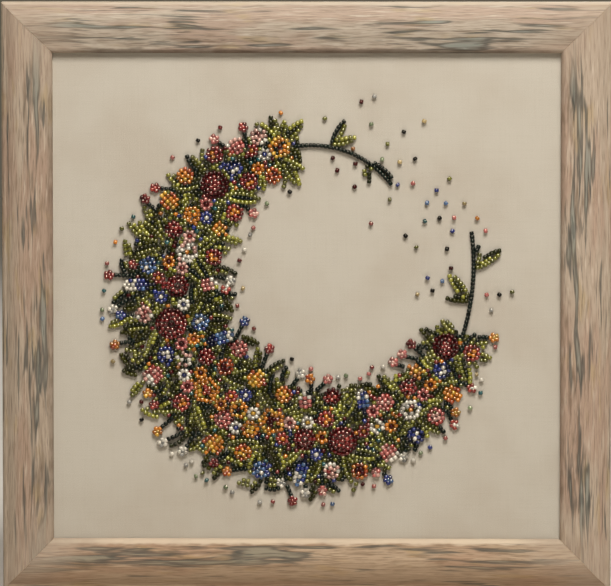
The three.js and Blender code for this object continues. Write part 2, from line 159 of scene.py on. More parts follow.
class Look:
    """One material, with its Principled shader ready to be fed."""

    def __init__(self, name, **constants):
        self.material = bpy.data.materials.new(name)
        self.material.use_nodes = True
        self.tree = self.material.node_tree
        self.tree.nodes.clear()
        self.shader = self.node("ShaderNodeBsdfPrincipled", {}, constants)
        self.node("ShaderNodeOutputMaterial", {}, {"Surface": self.shader.outputs[0]})

    def node(self, kind, settings, sockets):
        made = self.tree.nodes.new(kind)
        for key, setting in settings.items():
            setattr(made, key, setting)
        for key, given in sockets.items():
            self.feed(made.inputs[key], given)
        return made

    def feed(self, pin, given):
        if isinstance(given, Value):
            given = given.socket
        if isinstance(given, bpy.types.NodeSocket):
            self.tree.links.new(given, pin)
        else:
            pin.default_value = given

    def value(self, kind, settings, sockets, output=0):
        return Value(self, self.node(kind, settings, sockets).outputs[output])

    def place(self):
        """The position on the piece, in its own axes and in metres."""
        return self.node("ShaderNodeTexCoord", {}, {}).outputs["Object"]

    def axes(self, place):
        split = self.node("ShaderNodeSeparateXYZ", {}, {0: place})
        return [Value(self, pin) for pin in split.outputs]

    def grained(self, place, scale, detail, shift=0):
        """Noise that is stretched along the grain. scale: its fineness along each axis."""
        sockets = {"Vector": place, "Scale": scale, "Location": (shift, shift, shift)}
        return self.noise(self.node("ShaderNodeMapping", {}, sockets).outputs[0], 1.0, detail)

    def noise(self, place, scale, detail=3.0, roughness=0.55):
        sockets = {"Vector": place, "Scale": scale, "Detail": detail, "Roughness": roughness}
        return self.value("ShaderNodeTexNoise", {}, sockets)

    def mix(self, first, second, share):
        """The first colour where share is 0 and the second where it is 1."""
        settings = {"data_type": "RGBA"}
        return self.node("ShaderNodeMix", settings, {0: share, 6: first, 7: second}).outputs[2]

    def finish(self, colour, roughness=None, height=None, depth=0.0):
        """Feeds the shader and gives the material. depth: how deep the bumps are, in metres."""
        self.feed(self.shader.inputs["Base Color"], colour)
        if roughness is not None:
            self.feed(self.shader.inputs["Roughness"], roughness)
        if height is not None:
            bump = self.node("ShaderNodeBump", {}, {"Height": height, "Distance": depth})
            self.feed(self.shader.inputs["Normal"], bump.outputs[0])
        return self.material


def srgb(red, green, blue):
    """A screen colour, 0 to 255, as the linear colour that a shader takes."""
    def linear(level):
        level /= 255
        return level / 12.92 if level <= 0.04045 else ((level + 0.055) / 1.055) ** 2.4
    return (linear(red), linear(green), linear(blue), 1.0)


print("helpers ready")

# %% [markdown]
# ## Meshes from arrays
#
# Thousands of beads are quickest as one array of corners and one of faces. Rails, cloth and
# beads are all grids of points, so one function makes the faces of a grid.

# %% Mesh helper
def grid_faces(rows, columns, round_rows=False, round_columns=False):
    """Four-sided faces between the points of a grid, which may close around on itself."""
    i = np.arange(rows if round_rows else rows - 1)[:, None]
    j = np.arange(columns if round_columns else columns - 1)[None, :]
    below, beside = (i + 1) % rows, (j + 1) % columns
    corners = [i * columns + j, i * columns + beside, below * columns + beside, below * columns + j]
    return np.stack(np.broadcast_arrays(*corners), axis=-1).reshape(-1, 4)


def make_piece(name, points, faces, materials, slots, replaced=(), sharp=None):
    """points: (n, 3) in metres. faces: (m, 4). slots: which of the materials each face has."""
    mesh = bpy.data.meshes.new(name)
    points = np.asarray(points, dtype=np.float32)
    faces = np.asarray(faces, dtype=np.int32)
    sides = faces.shape[1]
    mesh.vertices.add(len(points))
    mesh.vertices.foreach_set("co", points.ravel())
    mesh.loops.add(faces.size)
    mesh.loops.foreach_set("vertex_index", faces.ravel())
    mesh.polygons.add(len(faces))
    mesh.polygons.foreach_set("loop_start", np.arange(0, faces.size, sides, dtype=np.int32))
    mesh.polygons.foreach_set("use_smooth", np.ones(len(faces), dtype=bool))
    mesh.polygons.foreach_set("material_index", np.asarray(slots, dtype=np.int32))
    mesh.update(calc_edges=True)
    mesh.validate()
    for material in materials:
        mesh.materials.append(material)
    if sharp is not None:
        mesh.set_sharp_from_angle(angle=math.radians(sharp))
    piece = add(name, mesh)
    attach(piece, "root")
    if replaced:
        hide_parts(*replaced)
    return piece


print("mesh helper ready")

# %% [markdown]
# ## The whitewashed moulding
#
# The real rails are a soft, domed moulding, painted beige over blue-grey and brown and then
# brushed back, so that short dark streaks show through along the grain. Each streak has a dark
# rim and a paler grey-green middle, and they lie in clusters on the inner half. A picture
# texture could hold such streaks, but noise stretched along the grain gives them at any
# distance: one band of its values is the rim, and what lies above that band is the middle.
# A kind of streak is its length and width in metres, and the detail and shift of its noise.

# %% Whitewashed wood
RAIL_WIDTH = 25 * MM
PAINT_BEIGE = srgb(165, 152, 135)
# The grain's brown, also used as the painted shade beside the bottom rail's outer edge.
GRAIN_AND_SHADE_BROWN = srgb(112, 96, 79)
STREAK_RIM = srgb(58, 62, 60)
STREAK_MIDDLE = srgb(126, 130, 121)
STREAK_BROWN = srgb(84, 66, 50)
CORNER_BEIGE = srgb(160, 145, 128)
CORNER_PINK = srgb(146, 127, 111)
# Painted shade for the rails' lips, and a pale painted highlight for the bottom lip and the outer edge.
LIP_PAINTED_SHADE = srgb(58, 43, 31)
PAINTED_HIGHLIGHT_PALE = srgb(206, 190, 168)

CLUSTERS = (0.045, 0.010, 1.0, 3.0)
FINE_GRAIN = (0.011, 0.0006, 3.0, 11.0)
LONG_STREAKS = (0.05, 0.0023, 2.0, 13.0)
SHORT_STREAKS = (0.015, 0.0009, 2.0, 17.0)
BROWN_STREAKS = (0.034, 0.0016, 3.0, 19.0)
RAGGED_EDGE = (0.012, 0.004, 2.0, 23.0)

# Veils over the beige: colour, kind of streak, the levels between which it comes in, strength
VEILS = [
    (srgb(158, 138, 121), (0.09, 0.011, 2.0, 5.0), (0.44, 0.57), 1.0),
    (srgb(160, 142, 108), (0.03, 0.005, 2.0, 7.0), (0.56, 0.68), 0.6),
    (srgb(184, 172, 155), (0.02, 0.0012, 3.0, 9.0), (0.52, 0.68), 0.7),
]
CLUSTER_PULL = 0.5
INNER_PULL = 0.11
SPARSENESS = 0.018
RIM_STARTS = (0.59, 0.67)
RIM_ENDS = (0.67, 0.76)
MIDDLE_STARTS = (0.65, 0.76)
SHORT_STARTS = (0.67, 0.77)
BROWN_STARTS = (0.58, 0.74)
LIP_STARTS = (0.87, 0.93)
CORNER_FADE = (0.002, 0.03)


def whitewashed(name, half_length, offset, seed, painted_light_tint, lip, brow_painted_light):
    """half_length: half of the rail, in metres. offset: how far the rail's outer edge lies from
    the middle of the frame, in metres. The tint scales the paint's red, green and blue on this
    rail as painted light and shade. lip: how dark a painted shade lies along the lip, or below
    zero how bright a painted highlight lies there. The brow number is how bright a painted
    highlight lies on the outermost edge, or below zero how dark a painted shade lies beside it."""
    # The tint makes each rail's paint lighter or darker as painted light and shade: lighter on the top
    # rail, darker on the bottom and left rails.
    def shade(colour):
        return tuple(min(1.0, part * share) for part, share in zip(colour, painted_light_tint)) + (1.0,)

    look = Look(name, Roughness=0.5, **{"Specular IOR Level": 0.12})
    along, deep, up = look.axes(look.place())
    across = (offset - up) / RAIL_WIDTH
    unrolled = {0: along + seed * 1.7, 2: up + deep + seed * 0.31}
    place = look.node("ShaderNodeCombineXYZ", {}, unrolled).outputs[0]
    wander = look.grained(place, (22, 22, 60), 1.0) - 0.5
    bend = look.value("ShaderNodeCombineXYZ", {}, {2: wander * 0.0022})
    grain = look.node("ShaderNodeVectorMath", {"operation": "ADD"}, {0: place, 1: bend}).outputs[0]

    def streaks(length, width, detail, shift):
        return look.grained(grain, (1 / length, 30, 1 / width), detail, shift)

    paint = shade(PAINT_BEIGE)
    for colour, kind, levels, strength in VEILS:
        paint = look.mix(paint, shade(colour), streaks(*kind).between(*levels) * strength)
    fine = streaks(*FINE_GRAIN)
    paint = look.mix(paint, shade(GRAIN_AND_SHADE_BROWN), fine.between(0.44, 0.68) * 0.6)

    inner = across.between(0.2, 0.62) - across.between(0.78, 0.95) * 0.8
    bias = (streaks(*CLUSTERS) - 0.5) * CLUSTER_PULL + inner * INNER_PULL - SPARSENESS
    long_streak = streaks(*LONG_STREAKS) + bias
    short_streak = streaks(*SHORT_STREAKS) + bias
    brown_streak = streaks(*BROWN_STREAKS) + bias * 0.8
    rim = long_streak.between(*RIM_STARTS) - long_streak.between(*RIM_ENDS)
    layers = [
        (shade(STREAK_BROWN), brown_streak.between(*BROWN_STARTS) * 0.45),
        (shade(STREAK_MIDDLE), long_streak.between(*MIDDLE_STARTS) * 0.8),
        (STREAK_RIM, rim * 0.72),
        (STREAK_RIM, short_streak.between(*SHORT_STARTS) * 0.5),
    ]

    # Along the lip: a painted shade where lip is above zero, darkest on the top rail, and a painted
    # highlight where it is below zero, on the bottom rail.
    edge = across + (streaks(*RAGGED_EDGE) - 0.5) * 0.14
    layers.append((LIP_PAINTED_SHADE if lip > 0 else PAINTED_HIGHLIGHT_PALE, edge.between(*LIP_STARTS) * abs(lip)))
    to_mitre = half_length - across * RAIL_WIDTH - along.size()
    corner = 1 - (to_mitre + wander * 0.02).between(*CORNER_FADE)
    layers.append((look.mix(CORNER_BEIGE, CORNER_PINK, fine.between(0.35, 0.7)), corner * 0.7))
    # At the outer edge: a painted highlight where brow is above zero, strongest on the top rail, and
    # below zero a painted shade on the face beside it, on the bottom rail.
    if brow_painted_light > 0:
        layers.append((PAINTED_HIGHLIGHT_PALE, (1 - across.between(0.01, 0.07)) * (fine * 1.6) * brow_painted_light))
    else:
        beside = across.between(0.0, 0.2) - across.between(0.4, 0.65)
        layers.append((shade(GRAIN_AND_SHADE_BROWN), beside * abs(brow_painted_light)))
    for colour, share in layers:
        paint = look.mix(paint, colour, share)
    relief = fine * 0.6 + long_streak * 0.4 - rim * 0.3
    return look.finish(paint, 0.5 + 0.2 * fine + 0.1 * rim, relief, 0.0003)


def bare_pine(name):
    """The unpainted back and rabbet of the moulding."""
    look = Look(name, Roughness=0.7)
    rings = look.grained(look.place(), (7, 220, 320), 4.0)
    pores = look.grained(look.place(), (30, 900, 1300), 3.0)
    shade = look.mix(srgb(214, 180, 132), srgb(171, 126, 78), rings.between(0.38, 0.66))
    shade = look.mix(shade, srgb(140, 100, 62), pores.between(0.6, 0.75) * 0.5)
    return look.finish(shade, height=rings + pores * 0.4, depth=0.0003)


pine = bare_pine("bare_pine")
print("wood looks ready")

# %% [markdown]
# ## The rails
#
# Each rail is one stick of moulding with its ends cut at 45 degrees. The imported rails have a
# coarse section, so new ones stand for them here: the same section drawn with fine arcs, laid
# out in many short steps along the stick, and pressed a few hundredths of a millimetre up
# and down along the grain, as brushed wood is. Each rail keeps its own axes, so that the
# streaks run along it, and is then turned into its place.

# %% Rail section
SIDE_START = 1.2
SIDE_DEPTH = 11.8
OUTER_ROUND = 2.4
CROWN_DEPTH = 16.5
CROWN_INSET = 8.5
LIP_TOP = 13.2
LIP_FOOT = 11.0
LIP_WIDTH = 2.6
RABBET_WIDTH = 6.0
RABBET_DEPTH = 8.5
BACK_CHAMFER = 0.4
MITRE_GAP = 0.08
CURVE_STEPS = 12
SIDE_STEPS = 5


def bezier(points, steps):
    """A curve of any degree through its first and last point, without its first point."""
    degree = len(points) - 1
    share = np.linspace(0, 1, steps + 1)[1:, None]
    curve = np.zeros((steps, 2))
    for i, point in enumerate(points):
        weight = math.comb(degree, i) * share**i * (1 - share) ** (degree - i)
        curve = curve + weight * np.array(point)
    return curve


def rail_section():
    """Points of (across, deep) in mm: the show face first, then the back."""
    width = RAIL_WIDTH / MM
    lip_start = width - LIP_WIDTH
    turn = np.linspace(math.pi, math.pi / 2, CURVE_STEPS + 1)[:, None]
    edge = np.hstack([
        OUTER_ROUND + OUTER_ROUND * np.cos(turn),
        SIDE_DEPTH + OUTER_ROUND * np.sin(turn),
    ])
    shoulder = ((OUTER_ROUND + CROWN_INSET) / 2, CROWN_DEPTH)
    rise = bezier([tuple(edge[-1]), shoulder, (CROWN_INSET, CROWN_DEPTH)], CURVE_STEPS)
    fall_from = ((CROWN_INSET + lip_start) / 2, CROWN_DEPTH)
    slope = (lip_start - width / 6, LIP_TOP + (CROWN_DEPTH - LIP_TOP) / 3)
    fall_to = (lip_start, LIP_TOP)
    fall = bezier([(CROWN_INSET, CROWN_DEPTH), fall_from, slope, fall_to], 2 * CURVE_STEPS)
    lip = bezier([fall_to, (width - LIP_WIDTH / 4, LIP_TOP), (width, LIP_FOOT)], CURVE_STEPS)
    depths = np.linspace(SIDE_START, SIDE_DEPTH, SIDE_STEPS + 1)[:-1]
    side = np.array([(0.0, depth) for depth in depths])
    show = np.vstack([side, edge, rise, fall, lip])
    flat_back = width - RABBET_WIDTH
    back = np.array([(width, RABBET_DEPTH), (flat_back, RABBET_DEPTH), (flat_back, BACK_CHAMFER),
                     (flat_back - BACK_CHAMFER, 0.0), (BACK_CHAMFER, 0.0), (0.0, BACK_CHAMFER)])
    return show, back


show_face, back_face = rail_section()
print("section points:", len(show_face), "+", len(back_face))

# %% Rails
RAIL_STEPS = 110
GRAIN_PRESS = 0.05
GRAIN_LOWERED = 0.4
GRAIN_LENGTH = 26
GRAIN_WIDTH = 1.7
SEED_STEP = 9.0


def close_ends(mesh, count):
    """Adds the two mitred end faces to a rail with count points in its section."""
    body = bmesh.new()
    body.from_mesh(mesh)
    body.verts.ensure_lookup_table()
    first = [body.verts[i] for i in range(count)]
    last = [body.verts[len(body.verts) - count + i] for i in range(count)]
    for ring in (first[::-1], last):
        cap = body.faces.new(ring)
        cap.material_index = 1
    bmesh.ops.recalc_face_normals(body, faces=body.faces)
    bmesh.ops.triangulate(body, faces=[f for f in body.faces if len(f.verts) > 4])
    body.to_mesh(mesh)
    body.free()


def make_rail(name, half_length, offset, turn, seed, painted_light_tint, lip, brow_painted_light):
    section = np.vstack([show_face, back_face])
    count = len(section)
    paint = whitewashed("whitewash_" + name, half_length * MM, offset * MM, seed, painted_light_tint, lip, brow_painted_light)
    across = section[:, 0][None, :]
    deep = section[:, 1][None, :]
    reach = half_length - across - MITRE_GAP / math.sqrt(2)
    along = np.linspace(-1, 1, RAIL_STEPS + 1)[:, None] * reach
    pressed = np.zeros_like(along)
    for i in range(RAIL_STEPS + 1):
        for j in range(len(show_face)):
            bump = wobble(along[i, j] / GRAIN_LENGTH, across[0, j] / GRAIN_WIDTH, seed * SEED_STEP)
            pressed[i, j] = GRAIN_PRESS * (bump - GRAIN_LOWERED)
    height = np.minimum(deep + pressed, CROWN_DEPTH)
    points = np.stack([along, -height, offset - across + 0 * along], axis=2).reshape(-1, 3) * MM
    faces = grid_faces(RAIL_STEPS + 1, count, round_columns=True)
    slots = ([0] * len(show_face) + [1] * len(back_face)) * RAIL_STEPS
    piece = make_piece(name + "_moulding", points, faces, [paint, pine], slots,
                       [name], sharp=38)
    close_ends(piece.data, count)
    piece.rotation_euler = (0, math.radians(turn), 0)
    piece.location = (0, 0, FRAME_CENTRE.z)
    return piece


HALF_WIDTH = (cad_high.x - cad_low.x) / MM / 2
HALF_HEIGHT = (cad_high.z - cad_low.z) / MM / 2
# Name, half length, distance of the outer edge, turn, seed, tint of painted light and shade, lip
# (painted shade above zero, painted highlight below) and brow (painted highlight above zero, painted
# shade beside the edge below)
RAILS = [
    ("top_rail", HALF_WIDTH, HALF_HEIGHT, 0, 1, (1.04, 1.065, 1.11), 0.6, 0.7),
    ("right_rail", HALF_HEIGHT, HALF_WIDTH, 90, 2, (1.01, 0.98, 0.98), 0.28, 0.1),
    ("bottom_rail", HALF_WIDTH, HALF_HEIGHT, 180, 3, (0.92, 0.8, 0.69), -0.7, -0.38),
    ("left_rail", HALF_HEIGHT, HALF_WIDTH, 270, 8, (0.88, 0.85, 0.84), 0.25, 0.1),
]
rails = [make_rail(*rail) for rail in RAILS]
print("rail faces:", [len(rail.data.polygons) for rail in rails])

# %% [markdown]
# ## The cloth
#
# A plain, fine, greige cloth lies flat and tight under the beads. The sheet is modelled as a
# thin closed piece with a very shallow unevenness. The weave is two sine waves across each
# other in the bump, with slubs that thicken a thread here and there.

# %% Cloth
cloth_low, cloth_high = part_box("canvas")
CLOTH_FRONT = -cloth_low.y / MM
THREAD_PITCH = 0.52 * MM
CLOTH_SINK = 0.06
SAG = 0.05
SAG_PACE = 30
CLOTH_STEPS = 120


def woven_cloth(name):
    look = Look(name, Roughness=0.9, **{"Specular IOR Level": 0.15})
    place = look.place()
    right, _, up = look.axes(place)
    turns = 2 * math.pi / THREAD_PITCH
    weave = (right * turns).wave() * (up * turns).wave()
    slub_warp = look.grained(place, (900, 1, 40), 2.0)
    slub_weft = look.grained(place, (40, 1, 900), 2.0)
    cloudy = look.noise(place, 22.0, 3.0)
    thread = slub_warp * 0.5 + slub_weft * 0.5
    shade = look.mix(srgb(179, 173, 161), srgb(173, 165, 152), cloudy.between(0.35, 0.68))
    shade = look.mix(shade, srgb(157, 146, 130), thread.between(0.48, 0.66) * 0.09)
    shade = look.mix(shade, srgb(147, 136, 119), weave.between(0.2, 1.0) * 0.1)
    return look.finish(shade, height=weave * 0.4 + thread, depth=0.00009)


grid = np.linspace(0, 1, CLOTH_STEPS + 1)
right_line = cloth_low.x + (cloth_high.x - cloth_low.x) * grid
up_line = cloth_low.z + (cloth_high.z - cloth_low.z) * grid
front, back = [], []
for up in up_line:
    for right in right_line:
        sag = wobble(right * SAG_PACE, up * SAG_PACE, 3.0) * SAG * MM
        front.append((right, cloth_low.y + CLOTH_SINK * MM + sag, up))
        back.append((right, cloth_high.y, up))
row = CLOTH_STEPS + 1
front_faces = grid_faces(row, row)
back_faces = front_faces[:, [0, 3, 2, 1]] + row * row
index = np.arange(row * row).reshape(row, row)
rim = np.concatenate([index[0, :-1], index[:-1, -1], index[-1, :0:-1], index[:0:-1, 0]])
after = np.roll(rim, -1)
edge_faces = np.stack([rim, rim + row * row, after + row * row, after], axis=1)
cloth_faces = np.vstack([np.hstack([front_faces, back_faces]).reshape(-1, 4), edge_faces])
cloth = make_piece("stretched_cloth", front + back, cloth_faces, [woven_cloth("woven_cloth")],
                   [0] * len(cloth_faces), ["canvas"], sharp=40)

# %% [markdown]
# ## Glass beads
#
# A seed bead is a short ring cut from glass tube and tumbled until its edges are round. One
# bead is drawn here once, as a closed profile turned about the thread's axis, and every sewn
# bead is a copy of it. Each colour of glass is one glossy material. The beads of one colour
# are never all alike, so a number that is random for each loose ring shifts its shade.
#
# Rows lie ROW apart and the beads of a row PITCH apart, and no bead comes nearer to another
# than ROOM, all in mm. PROFILE holds shares of the bead's length and radius.

# %% One bead
BEAD_RADIUS = 1.16
BEAD_LENGTH = 1.88
ROW = 2.28
PITCH = 2.05
ROOM = 1.73
AROUND = 9
PROFILE = [(-0.36, 0.93), (0.0, 1.0), (0.36, 0.93), (0.49, 0.72), (0.44, 0.42),
           (0.0, 0.3), (-0.44, 0.42), (-0.49, 0.72)]


def bead_shape():
    """Corners (x along the thread, y and z across it, in mm) and faces of one bead."""
    corners = []
    for i in range(AROUND):
        turn = 2 * math.pi * i / AROUND
        for along, out in PROFILE:
            reach = out * BEAD_RADIUS
            corners.append((along * BEAD_LENGTH, reach * math.cos(turn), reach * math.sin(turn)))
    return np.array(corners), grid_faces(AROUND, len(PROFILE), round_rows=True, round_columns=True)


bead_corners, bead_faces = bead_shape()
print("one bead:", len(bead_corners), "corners,", 2 * len(bead_faces), "triangles")

# %% Glass colours
GLASS = {
    "red": (124, 14, 18), "wine": (72, 7, 11), "coral": (164, 52, 42), "pink": (192, 104, 98),
    "blush": (216, 164, 150), "golden": (208, 124, 20), "yellow": (216, 166, 52),
    "orange": (174, 70, 14), "cobalt": (24, 42, 122), "navy": (9, 15, 46), "sky": (78, 112, 160),
    "turquoise": (12, 84, 88), "teal": (8, 25, 19), "olive": (110, 110, 22), "lime": (152, 150, 42),
    "moss": (60, 60, 6), "forest": (34, 38, 5), "white": (226, 219, 204),
    "champagne": (192, 168, 114), "black": (9, 6, 3), "silver": (160, 158, 152),
    "mint": (142, 158, 118),
}


DARK_BELOW = 75
DARK_SHINE = 0.19
SHINE = 0.65
DEEP_SHARE = 0.2
LIGHT_SHARE = 0.84


def bead_glass(name, screen_colour):
    shine = DARK_SHINE if max(screen_colour) < DARK_BELOW else SHINE
    look = Look("glass_" + name, IOR=1.52, **{"Specular IOR Level": shine})
    each = look.value("ShaderNodeNewGeometry", {}, {}, "Random Per Island")
    base = srgb(*screen_colour)[:3]
    deep = tuple(channel * DEEP_SHARE for channel in base) + (1.0,)
    light = tuple(channel * LIGHT_SHARE for channel in base) + (1.0,)
    swirl = look.noise(look.place(), 900.0, 1.0)
    shade = look.mix(deep, light, each * 0.75 + swirl * 0.25)
    return look.finish(shade, 0.15 + 0.1 * each)


glass = {name: bead_glass(name, colour) for name, colour in GLASS.items()}
glass_names = list(glass)
print("glass colours:", len(glass))

# %% [markdown]
# ## Sewing
#
# The beads are laid by the rule that a sewer follows: finish one motif row by row, then sew
# the next one around it, never where a bead already sits. `Sewing` keeps every bead and
# answers whether a spot is free, with a grid of small cells so that it needn't look at all
# of them.

# %% Sewing
CELL = 2.5


class Sewing:
    """All beads laid so far: place on the cloth, direction, colour, height and motif."""

    def __init__(self):
        self.cells = {}
        self.motifs = {}

    def free(self, right, up, room):
        column, line = math.floor(right / CELL), math.floor(up / CELL)
        reach = math.ceil(room / CELL)
        for i in range(-reach, reach + 1):
            for j in range(-reach, reach + 1):
                for x, y in self.cells.get((column + i, line + j), ()):
                    if (x - right) ** 2 + (y - up) ** 2 < room * room:
                        return False
        return True

    def sew(self, motif, colour, right, up, heading, room=ROOM, lift=0.0):
        if not self.free(right, up, room):
            return False
        cell = (math.floor(right / CELL), math.floor(up / CELL))
        self.cells.setdefault(cell, []).append((right, up))
        self.motifs.setdefault(motif, []).append((right, up, heading, colour, lift))
        return True


class Spot:
    """A place and a turn on the cloth: turn 0 points up, and it grows towards the right."""

    def __init__(self, right, up, turn):
        self.right, self.up, self.turn = right, up, math.radians(turn)

    def put(self, x, y):
        cos, sin = math.cos(self.turn), math.sin(self.turn)
        return self.right + x * cos + y * sin, self.up - x * sin + y * cos


sewing = Sewing()
dice = random.Random(7)
print("sewing ready")

# %% [markdown]
# ## Rows of beads
#
# Three ways of laying beads make every motif: rings that follow an outline and shrink towards
# its middle, as on a round flower; rows that run lengthwise, as on a cup; and a single row
# along a line, as on a stem. An outline is a function from a turn to a point, the same as in
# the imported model, so the beads fill the motifs that the model holds.

# %% Outlines
def petalled(radius, petals, notch):
    def outline(turn):
        reach = radius * (1 - notch + notch * math.cos(petals * turn))
        return reach * math.sin(turn), reach * math.cos(turn)
    return outline


CUP_FLARE = 0.2
CUP_REST = 0.4
CUP_WAIST = 0.18
LOOK_AHEAD = 0.3
RING_STEPS = 60
EDGE_STEPS = 120
FOOT_ROOM = 0.75
TIP_ROOM = 0.6
FOOT_SHARE = 0.86


def cup_outline(length, width, points):
    def outline(turn):
        above = max(0.0, math.cos(turn))
        rim = 1 + CUP_FLARE * above * (math.cos(points * 2 * turn) - CUP_REST)
        waist = 1 - CUP_WAIST * max(0.0, -math.cos(turn))
        return width / 2 * math.sin(turn) * rim * waist, length / 2 * math.cos(turn) * rim
    return outline


def leaf_outline(length, width):
    def outline(turn):
        pinch = math.sqrt(abs(math.sin(turn)))
        return width / 2 * math.sin(turn) * pinch, length / 2 * math.cos(turn)
    return outline


def lay_line(motif, spot, line, colour_at, closed=False, room=ROOM, pitch=PITCH, lift=0.0):
    """Beads along a line of (x, y) points, evenly spaced. colour_at takes the share of the way."""
    line = np.array(line + line[:1] if closed else line)
    steps = np.hypot(*(line[1:] - line[:-1]).T)
    length = steps.sum()
    count = max(1, int(length / pitch + (0.15 if closed else 0.6)))
    reached = np.concatenate([[0], np.cumsum(steps)])
    phase = dice.random() if closed else 0.5

    def point(way):
        return np.array([np.interp(way, reached, line[:, axis]) for axis in (0, 1)])

    for i in range(count):
        way = length * ((i + phase) / count % 1)
        dx, dy = point(min(length, way + LOOK_AHEAD)) - point(max(0.0, way - LOOK_AHEAD))
        heading = math.atan2(dy, dx) - spot.turn
        right, up = spot.put(*point(way))
        sewing.sew(motif, colour_at(way / length), right, up, heading, room, lift)


def lay_rings(motif, spot, outline, half_width, colours, dome=0.0):
    """Rings inside an outline. colours: the shades of each ring, outside first. dome: how far
    the middle stands above the outermost ring."""
    pitch = ROW if dome == 0 else ROW * 0.9
    inset = ROW * 0.5
    ring = 0
    while half_width - inset > ROW * 0.42:
        share = 1 - inset / half_width
        inward = share * half_width / (half_width - ROW * 0.5)
        turns = [2 * math.pi * i / RING_STEPS for i in range(RING_STEPS)]
        line = [tuple(share * c for c in outline(turn)) for turn in turns]
        shades = colours[min(ring, len(colours) - 1)]
        lay_line(motif, spot, line, lambda way: dice.choice(shades), closed=True,
                 lift=dome * (1 - inward**2))
        ring += 1
        inset += pitch
    right, up = spot.put(0, 0)
    sewing.sew(motif, dice.choice(colours[-1]), right, up, dice.uniform(0, 3), ROOM * 0.87, dome)


def lay_lengthwise(motif, spot, outline, width, shade_at):
    """Rows from foot to tip, kept inside the outline. shade_at takes the row and the share up."""
    edge = [outline(2 * math.pi * i / EDGE_STEPS) for i in range(EDGE_STEPS)]
    rows = max(1, int(width / ROW))
    for k in range(rows):
        x = (k - (rows - 1) / 2) * ROW
        heights = [y for ex, y in edge if abs(ex - x) < 0.5]
        if not heights:
            continue
        low, high = min(heights) + FOOT_ROOM, max(heights) - TIP_ROOM
        side = abs(k - (rows - 1) / 2)
        line = [(x * (FOOT_SHARE + (1 - FOOT_SHARE) * t), low + (high - low) * t)
                for t in (0, 0.25, 0.5, 0.75, 1)]
        lay_line(motif, spot, line, lambda way: shade_at(side, way))


print("three ways of laying beads")

# %% [markdown]
# ## The garland's plan
#
# The garland is a crescent about a spine, a circle's arc that is open at the upper right. It
# is fullest at the lower left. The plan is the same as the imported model's: hearts along the
# spine, cups and spikes that point outwards and inwards between them, small accents, leaves
# that fan out on both sides, and a stem with leaf pairs at each end.

# %% Plan
GARLAND_RIGHT = 6.0
GARLAND_UP = 2.0
SPINE_RADIUS = 72.0
SPINE_START = 98.0
SPINE_END = 344.0
FULLEST_AT = 221.0
HALF_WIDTH_FULL = 30.0
HALF_WIDTH_END = 12.0
SWELL_POWER = 1.2
SMALLEST_SCALE = 0.72
SCALE_GROWTH = 0.28
HEART_COUNT = 9
END_MARGIN = 7.0
HEART_STEP = (SPINE_END - SPINE_START - 2 * END_MARGIN) / (HEART_COUNT - 1)
BED_TAPER = 12.0
BED_SHARE = 0.5
STEM_WIDTH = 2.1


def half_width_at(angle):
    side = SPINE_START if angle < FULLEST_AT else SPINE_END
    away = min(1.0, (angle - FULLEST_AT) / (side - FULLEST_AT))
    swell = max(0.0, math.cos(away * math.pi / 2)) ** SWELL_POWER
    return HALF_WIDTH_END + (HALF_WIDTH_FULL - HALF_WIDTH_END) * swell


def scale_at(angle):
    return SMALLEST_SCALE + SCALE_GROWTH * half_width_at(angle) / HALF_WIDTH_FULL


def bed_half_at(angle):
    to_end = max(0.0, min(angle - SPINE_START, SPINE_END - angle))
    taper = min(1.0, to_end / BED_TAPER)
    return STEM_WIDTH / 2 + (half_width_at(angle) * BED_SHARE - STEM_WIDTH / 2) * taper


def heart_angle(i):
    return SPINE_START + END_MARGIN + HEART_STEP * i


def on_cloth(angle, offset):
    """The place at an angle about the garland's centre and an offset outwards from its spine."""
    reach = SPINE_RADIUS + offset
    right = GARLAND_RIGHT + reach * math.cos(math.radians(angle))
    up = FRAME_CENTRE.z / MM + GARLAND_UP + reach * math.sin(math.radians(angle))
    return right, up


def at(angle, offset, lean=0.0):
    right, up = on_cloth(angle, offset)
    return Spot(right, up, 90 - angle + lean)


print("hearts at:", [round(heart_angle(i)) for i in range(HEART_COUNT)])

# %% [markdown]
# ## Flowers
#
# There are three shapes of flower: round ones of rings, cups of lengthwise rows with a green
# foot, and spikes of three rows. One function for round flowers and one for cups take the sizes
# in mm, so that a kind of flower is one line in the table SEW.

# %% Flowers
ROSETTES = [
    [["wine", "red"], ["red"], ["red", "coral"], ["coral", "red"]],
    [["wine"], ["red", "wine"], ["red"], ["red", "coral"]],
    [["red", "wine"], ["red"], ["red", "wine"], ["wine"]],
]
DAISIES = [
    [["white"], ["white", "silver"], ["yellow", "golden"]],
    [["blush", "white"], ["white"], ["golden"]],
]
GOLDENS = [
    [["golden"], ["golden", "yellow"], ["orange", "coral"]],
    [["yellow", "golden"], ["golden"], ["wine"]],
]
GREEN_FOOT = 0.14
OUTER_ROWS = 1.2
SPIKE_HALF = 9.5


def round_flower(radius, petals, notch, dome, colours):
    def sew(motif, spot, scale, index):
        size = radius * scale
        rings = colours[index % len(colours)]
        lay_rings(motif, spot, petalled(size, petals, notch), size, rings, dome * scale)
    return sew


def cup_flower(length, width, points, shade):
    def sew(motif, spot, scale, index):
        outline = cup_outline(length * scale, width * scale, points)
        lay_lengthwise(motif, spot, outline, width * scale, shade)
    return sew


def tulip_shade(side, way):
    if way < GREEN_FOOT:
        return "moss"
    if way > 0.8 and side > OUTER_ROWS:
        return "orange"
    return dice.choice(["golden", "golden", "yellow"] if side < OUTER_ROWS else ["golden", "orange"])


def bell_shade(side, way):
    if way < GREEN_FOOT:
        return "olive"
    if way > 0.74:
        return dice.choice(["white", "blush"])
    return dice.choice(["pink", "coral"] if side > OUTER_ROWS else ["pink", "pink", "blush"])


